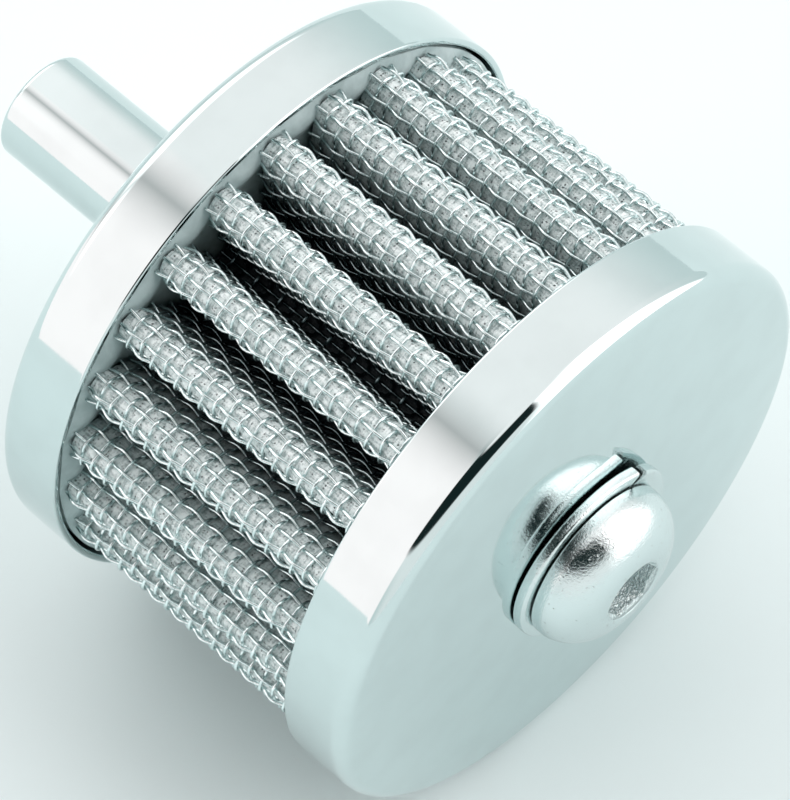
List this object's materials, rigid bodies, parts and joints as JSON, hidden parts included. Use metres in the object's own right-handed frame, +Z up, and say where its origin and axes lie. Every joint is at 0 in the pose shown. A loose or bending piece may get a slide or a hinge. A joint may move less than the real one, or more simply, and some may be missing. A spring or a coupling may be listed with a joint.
{
  "type": "crankcase breather filter",
  "caption": "Small round breather filter: chromed end cups, pleated wire mesh and gauze element, tube spigot for a hose and a button-head cap screw.",
  "frame": {"origin": "centre of the spigot tube's open end, on the filter's axis", "axes": "the filter's axis lies along Y: the spigot's open end faces +Y and the slightly crowned front face with the cap screw faces -Y; +Z is up with the filter lying on its cups"},
  "size_m": [0.0508, 0.0649, 0.0508],
  "materials": {
    "chrome": "bright chrome plate on pressed steel, mirror with a faint haze and fine draw marks",
    "screw_plating": "bright plated, slightly uneven",
    "plain_steel": "machined, satin",
    "wire": "bright drawn wire, plain weave",
    "gauze": "loose cotton gauze",
    "sealant": "poured grey compound, soft sheen",
    "fibre": "matt fibre washer"
  },
  "bodies": {
    "filter": {"front_cap": "chrome", "rear_cap": "chrome", "stem_tube": "chrome", "stem_collar": "plain_steel", "stem_seal": "fibre", "front_spacer_washer": "plain_steel", "outer_wire_mesh": "wire", "gauze_outer_ply": "gauze", "gauze_inner_ply": "gauze", "inner_wire_mesh": "wire", "pleat_seam_clip": "plain_steel", "rear_sealant": "sealant", "front_sealant": "sealant"},
    "washer_under_head": {"lock_washer": "screw_plating"},
    "screw": {"cap_screw": "screw_plating"}
  },
  "joints": [
    {"name": "screw_travel", "type": "slide", "parent": "filter", "child": "washer_under_head", "axis": [0, -1, 0], "range_m": [0, 0.0113]},
    {"name": "screw_turn", "type": "hinge", "parent": "washer_under_head", "child": "screw", "pos_m": [0, -0.0607, 0], "axis": [0, -1, 0], "range_deg": [0, 2880]}
  ],
  "couplings": [
    {"joint": "screw_travel", "follows": "screw_turn", "m_per_rad": 0.00022459}
  ]
}
